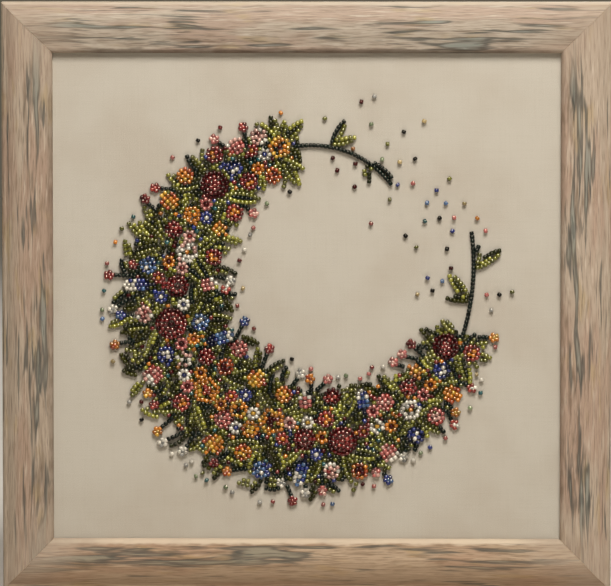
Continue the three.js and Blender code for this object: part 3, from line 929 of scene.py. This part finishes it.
def spike_shade(way):
    if way < 0.3:
        return "navy"
    return dice.choice(["cobalt", "cobalt", "sky"] if way < 0.6 else ["white", "sky", "white", "cobalt"])


def spike(motif, spot, scale, index):
    tip = SPIKE_HALF * scale - 0.9
    lay_line(motif, spot, [(0, -tip), (0, tip)], spike_shade, lift=0.35)
    for side in (-1, 1):
        line = [(1.3, 1.4 - tip), (2, 0.3 - tip / 2), (2, tip / 2), (1.3, tip - 1.2)]
        lay_line(motif, spot, [(side * x, y) for x, y in line], spike_shade)


SEW = {
    "red_rosette": round_flower(8.2, 6, 0.02, 2.6, ROSETTES),
    "white_daisy": round_flower(6.4, 6, 0.13, 0.0, DAISIES),
    "golden_blossom": round_flower(7.2, 5, 0.1, 1.0, GOLDENS),
    "orange_tulip": cup_flower(14.5, 11.5, 3, tulip_shade),
    "pink_bell": cup_flower(13.8, 10.9, 4, bell_shade),
    "blue_spike": spike,
}
sewn_of_kind = {}


def sew_kind(kind, scale, spot):
    sewn_of_kind[kind] = sewn_of_kind.get(kind, 0) + 1
    SEW[kind](f"{kind}_{sewn_of_kind[kind]}", spot, scale, sewn_of_kind[kind])


print("kinds of flower:", len(SEW))

# %% Places of the flowers
HEART_ORDER = ["golden_blossom", "red_rosette", "white_daisy", "red_rosette", "golden_blossom"]
OUTER_ORDER = ["pink_bell", "orange_tulip", "blue_spike"]
INNER_ORDER = ["blue_spike", "orange_tulip", "pink_bell"]
ACCENT_ORDER = ["white_daisy", "golden_blossom", "red_rosette"]
HEART_SWAY, HEART_PACE, HEART_PHASE = 4, 2.1, 0.6
SIDE_SHARE = 0.62
OUTER_LEAN, OUTER_PACE = 16, 1.7
INNER_LEAN, INNER_PACE, INNER_SHIFT, INNER_SCALE = 14, 2.3, 0.45, 0.86
ACCENT_SWAY, ACCENT_PACE, ACCENT_TURN, ACCENT_SCALE = 2.5, 2.6, 40, 0.74


def sew_group(hearts, shift, order, scale, place):
    """Kinds in turn along the spine. place: from a flower's number and angle to its spot."""
    for i in hearts:
        angle = heart_angle(i + shift)
        sew_kind(order[i % len(order)], scale_at(angle) * scale, place(i, angle))


def heart_place(i, angle):
    return at(angle, HEART_SWAY * math.sin(HEART_PACE * i + HEART_PHASE))


def outer_place(i, angle):
    return at(angle, half_width_at(angle) * SIDE_SHARE, OUTER_LEAN * math.sin(OUTER_PACE * i))


def inner_place(i, angle):
    lean = 180 + INNER_LEAN * math.sin(INNER_PACE * i)
    return at(angle, -half_width_at(angle) * SIDE_SHARE, lean)


def accent_place(i, angle):
    return Spot(*on_cloth(angle, ACCENT_SWAY * math.sin(ACCENT_PACE * i)), ACCENT_TURN * i)


sew_group(range(HEART_COUNT), 0, HEART_ORDER, 1, heart_place)
sew_group(range(HEART_COUNT - 1), 0.5, OUTER_ORDER, 1, outer_place)
sew_group(range(1, HEART_COUNT - 1), INNER_SHIFT, INNER_ORDER, INNER_SCALE, inner_place)
sew_group(range(1, HEART_COUNT - 2), 0.5, ACCENT_ORDER, ACCENT_SCALE, accent_place)
print("flowers:", sewn_of_kind)

# %% [markdown]
# ## Small blossoms
#
# Blossoms of two rings fill the middle of the garland where the large flowers leave room.
# They are sewn before the leaves, which then have to go around them, and they belong to the
# stretch of close beads that they stand in.

# %% Small blossoms
BLOSSOMS = [("red", "wine", "coral"), ("golden", "orange", "yellow"), ("pink", "coral", "blush"),
            ("cobalt", "navy", "white"), ("coral", "red", "golden"), ("blush", "white", "red"),
            ("orange", "golden", "wine"), ("sky", "cobalt", "white"), ("red", "red", "golden")]
BLOSSOM_RADIUS = 4.7
BLOSSOM_GAP = 0.85
BLOSSOM_DOME = 0.7
BLOSSOM_REACH = 0.82
BLOSSOM_MOST = 32


def bed_name(angle):
    """The stretch of close beads that an angle lies in."""
    sector = max(0, min(HEART_COUNT - 1, round((angle - heart_angle(0)) / HEART_STEP)))
    return f"leaf_bed_{sector + 1}"


def within(margin, share):
    """A seeded angle, and a place on the cloth up to a share of the half width from the spine."""
    angle = dice.uniform(SPINE_START + margin, SPINE_END - margin)
    offset = dice.uniform(-share, share) * half_width_at(angle)
    return angle, *on_cloth(angle, offset)


blossom_count = 0
for _ in range(1500):
    if blossom_count >= BLOSSOM_MOST:
        break
    angle, right, up = within(5, BLOSSOM_REACH)
    if sewing.free(right, up, BLOSSOM_RADIUS + BLOSSOM_GAP):
        outer, other, eye = BLOSSOMS[blossom_count % len(BLOSSOMS)]
        rings = [[outer, outer, other], [eye, outer], [eye]]
        outline = petalled(BLOSSOM_RADIUS, 6, 0.05)
        spot = Spot(right, up, dice.uniform(0, 60))
        lay_rings(bed_name(angle), spot, outline, BLOSSOM_RADIUS, rings, BLOSSOM_DOME)
        blossom_count += 1
print("small blossoms:", blossom_count)

# %% [markdown]
# ## Stems and leaves
#
# A stem is one row of very dark teal beads. A leaf is two side rows that meet at its tip,
# around a lighter rib, with one side often darker than the other, so that a leaf seems
# folded along its rib.

# %% Stems and leaves
LEAF_LENGTH = 18.5
LEAF_WIDTH = 6.2
LEAF_FOOT = 0.46
LEAF_VARIETY = 0.17
LEAF_PACE = 2.4
LEAF_STEPS = 24
LEAF_TIP_INSET = 0.95
RIB_FROM = -0.4
RIB_TO = 0.36
RIB_ROOM = 1.6
STEM_PITCH = 1.9
STEM_STEPS = 40
LEAF_SHADES = [
    ("olive", "lime", "forest"), ("lime", "olive", "moss"), ("olive", "moss", "forest"),
    ("forest", "olive", "lime"), ("lime", "olive", "forest"), ("teal", "olive", "moss"),
    ("olive", "lime", "teal"), ("moss", "forest", "olive"),
]


def sew_stem(motif, out, start, end, sway):
    line = []
    for i in range(STEM_STEPS + 1):
        share = i / STEM_STEPS
        line.append(on_cloth(start + (end - start) * share, out + sway * share**2))
    lay_line(motif, Spot(0, 0, 0), line, lambda way: "teal", pitch=STEM_PITCH)


def sew_leaf(motif, spot, length, width, shades):
    left, right_side, rib = shades
    outline = leaf_outline(length, width)
    share = 1 - ROW * 0.5 / (width / 2)
    reach = (length / 2 - LEAF_TIP_INSET) / (length / 2)
    turns = [math.pi * (1 - i / LEAF_STEPS) for i in range(LEAF_STEPS + 1)]
    for side, shade in ((-1, left), (1, right_side)):
        line = [(side * abs(outline(turn)[0]) * share, outline(turn)[1] * reach) for turn in turns]
        lay_line(motif, spot, line, lambda way: shade)
    middle = [(0, length * RIB_FROM), (0, length * RIB_TO)]
    lay_line(motif, spot, middle, lambda way: rib, room=RIB_ROOM)


def sew_fan(motif, spot, count, spread, scale, seed):
    for i in range(count):
        size = scale * (1 + LEAF_VARIETY * math.sin(LEAF_PACE * i + seed))
        length = LEAF_LENGTH * size
        turn = spread * (i / (count - 1) - 0.5)
        out = length * LEAF_FOOT
        x, y = out * math.sin(math.radians(turn)), out * math.cos(math.radians(turn))
        right, up = spot.put(x, y)
        leaf = Spot(right, up, math.degrees(spot.turn) + turn)
        sew_leaf(motif, leaf, length, LEAF_WIDTH * size, dice.choice(LEAF_SHADES))


OUTER_FAN, INNER_FAN, SPRAY_FAN = (5, 124), (4, 96), (2, 46)
FAN_SHARE = 0.3
OUTER_FAN_LEAN, OUTER_FAN_PACE = 12, 3
INNER_FAN_LEAN, INNER_FAN_PACE = 10, 2
STEM_OVERLAP = 2
SPRAYS = [(SPINE_START - 13, 1.5, 48), (SPINE_START - 27, -3, 128),
          (SPINE_END + 13, 2, 208), (SPINE_END + 25, 6, -48)]

sew_stem("stem_1", 1, SPINE_START + STEM_OVERLAP, SPINE_START - 42, -9)
sew_stem("stem_2", 2, SPINE_END - STEM_OVERLAP, SPINE_END + 38, 7)
for i in range(HEART_COUNT):
    angle, motif = heart_angle(i), f"leaf_bed_{i + 1}"
    offset = half_width_at(angle) * FAN_SHARE
    outwards = at(angle, offset, OUTER_FAN_LEAN * math.sin(OUTER_FAN_PACE * i))
    sew_fan(motif, outwards, *OUTER_FAN, scale_at(angle), angle)
    inwards = at(angle, -offset, 180 + INNER_FAN_LEAN * math.sin(INNER_FAN_PACE * i))
    sew_fan(motif, inwards, *INNER_FAN, scale_at(angle), angle)
for i, (angle, offset, lean) in enumerate(SPRAYS):
    spot = at(angle, offset, lean)
    sew_fan(f"leaf_spray_{i + 1}", spot, *SPRAY_FAN, scale_at(angle), angle)
print("beads so far:", sum(len(beads) for beads in sewing.motifs.values()))

# %% [markdown]
# ## Small sprigs around the garland
#
# The garland's edge is loose, as a sewn bouquet's is: small leaves, and short dark twigs with
# a bud at the end. They are only sewn where the cloth is still bare, so each one is tried at
# a seeded place and kept only if all its points but one are free.

# %% Sprigs and twigs
BUDS = [("red", "wine"), ("golden", "yellow"), ("pink", "blush"), ("cobalt", "sky"),
        ("coral", "white"), ("white", "silver"), ("red", "coral"), ("golden", "orange")]
# Place of each bead of a bud, and whether it is of the bud's second colour
BUD_BEADS = [(0, 0, 0), (-1.4, 1.25, 0), (1.4, 1.25, 0), (0, 1.8, 1), (-0.85, 3.15, 1),
             (0.85, 3.15, 0)]
BUD_ROOM = 1.3
TWIG_MOST = 38
TWIG_CLEAR = 1.8
SPRIG_MOST = 84
SPRIG_WIDTH = 4.6
SPRIG_CLEAR = 1.75


def is_bare(spot, points, room):
    taken = sum(not sewing.free(*spot.put(x, y), room) for x, y in points)
    return taken <= 1


def sew_bud(motif, spot, y):
    shades = dice.choice(BUDS)
    for x, up, shade in BUD_BEADS:
        right, height = spot.put(x, y + up)
        heading = math.radians(90) - spot.turn - x * 0.3
        sewing.sew(motif, shades[shade], right, height, heading, BUD_ROOM)


twig_count = 0
for _ in range(700):
    if twig_count >= TWIG_MOST:
        break
    angle = dice.uniform(SPINE_START, SPINE_END)
    side = dice.choice((-1, 1, 1))
    start = half_width_at(angle) * SIDE_SHARE
    spot = at(angle, side * start, (0 if side > 0 else 180) + dice.gauss(0, 34))
    length = dice.uniform(5, half_width_at(angle) * 0.36 + 4)
    points = [(0, length * share) for share in (0.3, 0.5, 0.7, 0.9)]
    points += [(0, length + 2), (-1.6, length + 2.5), (1.6, length + 2.5), (0, length + 4)]
    if is_bare(spot, points, TWIG_CLEAR):
        sway = dice.uniform(-1.6, 1.6)
        line = [(0, 0), (sway, length / 2), (0, length)]
        lay_line(bed_name(angle), spot, line, lambda way: "teal")
        sew_bud(bed_name(angle), spot, length + 0.6)
        twig_count += 1

sprig_count = 0
for _ in range(2600):
    if sprig_count >= SPRIG_MOST:
        break
    angle = dice.uniform(SPINE_START - 2, SPINE_END + 2)
    side = dice.choice((-1, 1))
    offset = side * half_width_at(angle) * dice.uniform(0.35, 1.02)
    spot = at(angle, offset, (0 if side > 0 else 180) + dice.gauss(0, 48))
    length = dice.uniform(8.5, 12.5)
    points = [(0, length * share) for share in (-0.38, -0.2, 0, 0.2, 0.38)]
    if is_bare(spot, points + [(-1.5, 0), (1.5, 0)], SPRIG_CLEAR):
        sew_leaf(bed_name(angle), spot, length, SPRIG_WIDTH, dice.choice(LEAF_SHADES))
        sprig_count += 1
print("twigs:", twig_count, "sprigs:", sprig_count)

# %% [markdown]
# ## Filling the bed
#
# Close beadwork leaves almost no cloth bare between the flowers. First come tiny flowers of
# seven petals and an eye wherever one fits in the band about the spine. Then rows, mostly of
# greens, follow the garland's length through whatever is left, with short runs of other
# colours, and single beads close the last gaps.

# %% Filling
TINY = [("white", "yellow"), ("pink", "wine"), ("red", "black"), ("golden", "wine"),
        ("coral", "golden"), ("white", "cobalt"), ("blush", "red"), ("cobalt", "white"),
        ("golden", "orange"), ("red", "golden")]
TINY_REACH = 2.35
TINY_PETALS = 7
EYE_ROOM = 1.27
PETAL_ROOM = 1.36
GROUND = ["olive", "forest", "moss", "olive", "teal", "lime", "forest", "moss", "wine", "olive",
          "forest", "cobalt", "olive", "teal", "golden", "moss", "red", "olive", "turquoise"]
GROUND_SHARE = 0.86
GROUND_ROOM = 1.52
GROUND_ROW = ROW * 0.94
GROUND_SWAY = 1.3
RUNS = 29
LAST_SHARE = 0.84
LAST_ROOM = 1.48


def sew_tiny(motif, right, up):
    petal, eye = dice.choice(TINY)
    sewing.sew(motif, eye, right, up, dice.uniform(0, 3), EYE_ROOM)
    start = dice.uniform(0, 1)
    for i in range(TINY_PETALS):
        turn = 2 * math.pi * (i + start) / TINY_PETALS
        x, y = right + TINY_REACH * math.cos(turn), up + TINY_REACH * math.sin(turn)
        sewing.sew(motif, petal, x, y, turn + math.pi / 2, PETAL_ROOM)


def ground_shade(angle, line):
    run = wobble(angle * 0.16 + line * 5.3, line * 1.9, 4.0)
    return GROUND[int((run + 1) * RUNS) % len(GROUND)]


tiny_count = 0
for _ in range(3000):
    angle, right, up = within(3, 0.8)
    if sewing.free(right, up, TINY_REACH + 1.15):
        sew_tiny(bed_name(angle), right, up)
        tiny_count += 1

lines = int(HALF_WIDTH_FULL / ROW) + 1
for line in range(-lines, lines + 1):
    angle = SPINE_START
    while angle < SPINE_END:
        offset = line * GROUND_ROW + GROUND_SWAY * wobble(angle * 0.07, line * 0.3, 0)
        if abs(offset) < max(bed_half_at(angle) + 1.5, half_width_at(angle) * GROUND_SHARE):
            right, up = on_cloth(angle, offset)
            shade, heading = ground_shade(angle, line), math.radians(angle + 90)
            sewing.sew(bed_name(angle), shade, right, up, heading, GROUND_ROOM)
        angle += math.degrees(PITCH / 2 / (SPINE_RADIUS + offset))
for _ in range(30000):
    angle = dice.uniform(SPINE_START, SPINE_END)
    offset = dice.uniform(-1, 1) * max(bed_half_at(angle) + 1, half_width_at(angle) * LAST_SHARE)
    right, up = on_cloth(angle, offset)
    shade = dice.choice(("forest", "olive", "moss", "teal"))
    heading = math.radians(angle + dice.uniform(30, 150))
    sewing.sew(bed_name(angle), shade, right, up, heading, LAST_ROOM)
print("tiny flowers:", tiny_count, "beads:", sum(len(beads) for beads in sewing.motifs.values()))

# %% [markdown]
# ## Loose beads
#
# Single beads lie scattered on the cloth around the garland, close together at its edge and
# further apart away from it. Each is sewn down by itself, with cloth all around it.

# %% Loose beads
LOOSE = ["golden", "red", "turquoise", "white", "champagne", "mint", "black", "coral", "sky",
         "silver", "wine", "olive", "cobalt", "pink"]
LOOSE_ROOM = 6.2
LOOSE_CLEAR = 2.48
LOOSE_MOST = 42
LOOSE_BAND = 34
FRINGE_CLEAR = 3.2
FRINGE_MOST = 56


def sew_loose(right, up):
    return sewing.sew("loose", dice.choice(LOOSE), right, up, dice.uniform(0, 3.2))


loose_count = 0
for _ in range(1500):
    if loose_count >= LOOSE_MOST:
        break
    angle = dice.uniform(SPINE_END - 350, SPINE_START - 8)
    offset = dice.gauss(2, 15)
    right, up = on_cloth(angle, offset)
    if abs(offset) < LOOSE_BAND and sewing.free(right, up, LOOSE_CLEAR):
        near = [(x, y) for x, y, *_ in sewing.motifs.get("loose", ())]
        if all(math.hypot(x - right, y - up) > LOOSE_ROOM for x, y in near):
            loose_count += sew_loose(right, up)
fringe_count = 0
for _ in range(900):
    if fringe_count >= FRINGE_MOST:
        break
    angle = dice.uniform(SPINE_START, SPINE_END)
    side = dice.choice((-1, 1, 1))
    offset = side * (half_width_at(angle) + dice.uniform(-4, 8))
    right, up = on_cloth(angle, offset)
    if sewing.free(right, up, FRINGE_CLEAR):
        fringe_count += sew_loose(right, up)
print("loose beads:", loose_count, "fringe:", fringe_count)

# %% [markdown]
# ## From spots to glass
#
# Every bead now has a place, a direction and a colour. Each motif becomes one piece: the one
# bead shape is copied to every spot, turned so that its hole follows the row, tipped a little
# as a sewn bead is, and varied a few percent in size.

# %% Bead pieces
BEAD_LIFT = 0.06
TIP = math.radians(9)


def bead_copies(beads):
    """All beads of one motif as corners, faces, material indices and materials."""
    points, faces, slots = [], [], []
    used = sorted({bead[3] for bead in beads}, key=glass_names.index)
    for index, (right, up, heading, colour, lift) in enumerate(beads):
        size = dice.uniform(0.95, 1.03)
        stretch = dice.uniform(0.93, 1.06)
        tip = dice.uniform(-TIP, TIP)
        swing = heading + dice.uniform(-0.09, 0.09)
        shape = bead_corners * (size * stretch, size, size)
        spin = dice.uniform(0, 2 * math.pi / AROUND)
        y = shape[:, 1] * math.cos(spin) - shape[:, 2] * math.sin(spin)
        z = shape[:, 1] * math.sin(spin) + shape[:, 2] * math.cos(spin)
        x = shape[:, 0] * math.cos(tip) - z * math.sin(tip)
        z = shape[:, 0] * math.sin(tip) + z * math.cos(tip)
        across = right + x * math.cos(swing) - y * math.sin(swing)
        height = up + x * math.sin(swing) + y * math.cos(swing)
        base = CLOTH_FRONT + BEAD_LIFT + BEAD_RADIUS * size + lift + dice.uniform(0, 0.2)
        points.append(np.stack([across, -(base + z), height], axis=1) * MM)
        faces.append(bead_faces + index * len(bead_corners))
        slots += [used.index(colour)] * len(bead_faces)
    return np.vstack(points), np.vstack(faces), slots, [glass[name] for name in used]


bead_total = 0
for motif in sorted(sewing.motifs):
    beads = sewing.motifs[motif]
    points, faces, slots, materials = bead_copies(beads)
    if motif == "loose":
        make_piece("loose_beads", points, faces, materials, slots)
    else:
        make_piece("beads_" + motif, points, faces, materials, slots, [motif])
    bead_total += len(beads)
print("bead pieces:", len(sewing.motifs), "beads:", bead_total, "triangles:",
      bead_total * 2 * len(bead_faces))

# %% [markdown]
# ## The back
#
# Behind the cloth there is a brown fibreboard, six bent steel points that hold it and a
# sawtooth hanger. They keep their imported meshes and get finishes: a mottled,
# pressed-fibre board, dull strip steel, and a thin brass wash.

# %% Back materials
def fibreboard(name):
    look = Look(name, Roughness=0.8)
    fibres = look.grained(look.place(), (500, 200, 160), 4.0)
    cloudy = look.noise(look.place(), 120.0, 5.0, 0.7)
    shade = look.mix(srgb(150, 113, 75), srgb(131, 95, 60), cloudy.between(0.35, 0.65))
    shade = look.mix(shade, srgb(178, 142, 98), fibres.between(0.58, 0.74) * 0.5)
    return look.finish(shade, height=fibres, depth=0.0002)


def pressed_strip(name, bright, dull, roughness):
    look = Look(name, Metallic=1.0)
    scratches = look.grained(look.place(), (260, 2400, 2400), 3.0)
    spots = look.noise(look.place(), 420.0, 3.0)
    shade = look.mix(bright, dull, spots.between(0.4, 0.72))
    return look.finish(shade, roughness + 0.18 * scratches, scratches, 0.00005)


def dress(name, material):
    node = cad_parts[name]
    node.data.materials.clear()
    node.data.materials.append(material)
    return node


dress("backing_board", fibreboard("fibreboard"))
steel = pressed_strip("strip_steel", srgb(176, 178, 180), srgb(120, 120, 118), 0.3)
brass_wash = pressed_strip("brass_wash", srgb(206, 176, 104), srgb(150, 122, 66), 0.24)
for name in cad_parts:
    if name.startswith("steel_point"):
        dress(name, steel)
    elif "hanger" in name:
        dress(name, brass_wash)
print("back dressed")

# %% [markdown]
# ## Light and floor
#
# The photograph's light is warm and soft and comes from above and a little in front: the top
# lip shades the cloth below it, the bottom lip shines, and the cloth darkens slowly towards
# the bottom. A large lamp above and to the right gives that, and the pale surroundings lift the
# shadows. Every bead has a small bright glint: a second lamp beside the first adds only those.
# A third one behind shows the back.

# %% Light
def add_lamp(name, spot, size, power, colour):
    data = bpy.data.lights.new(name, "AREA")
    data.shape = "RECTANGLE"
    data.size, data.size_y = size
    data.energy = power
    data.color = colour
    lamp = add(name, data)
    lamp.location = spot
    aim = FRAME_CENTRE - lamp.location
    lamp.rotation_euler = aim.to_track_quat("-Z", "Y").to_euler()
    return lamp


key_lamp = add_lamp("key_lamp", (0.16, -0.84, 0.8), (0.6, 0.5), 20.7, (1.0, 0.955, 0.905))
key_lamp.visible_glossy = False
glint_lamp = add_lamp("glint_lamp", (0.12, -0.8, 0.72), (0.34, 0.3), 48.0, (1.0, 0.88, 0.66))
glint_lamp.visible_diffuse = False
add_lamp("back_fill", (0.6, 1.4, 0.6), (1.2, 1.2), 14.0, (1.0, 0.97, 0.94))

world = bpy.data.worlds.new("studio")
bpy.context.scene.world = world
world.use_nodes = True
world.node_tree.nodes["Background"].inputs["Color"].default_value = (0.88, 0.79, 0.6, 1.0)
world.node_tree.nodes["Background"].inputs["Strength"].default_value = 0.13

floor_look = Look("pale_floor", Roughness=0.7)
grainy = floor_look.noise(floor_look.place(), 60.0, 3.0)
floor_look.finish(floor_look.mix(srgb(226, 222, 216), srgb(214, 209, 202), grainy))
FLOOR_HALF = 3.0
floor_mesh = bpy.data.meshes.new("floor")
floor_z = cad_low.z - 0.5 * MM
corners = [(-1, -1), (1, -1), (1, 1), (-1, 1)]
floor_corners = [(x * FLOOR_HALF, y * FLOOR_HALF, floor_z) for x, y in corners]
floor_mesh.from_pydata(floor_corners, [], [(0, 1, 2, 3)])
floor_mesh.materials.append(floor_look.material)
add("floor", floor_mesh)
bpy.context.scene.view_settings.view_transform = "Standard"
bpy.context.scene.view_settings.exposure = 0.0
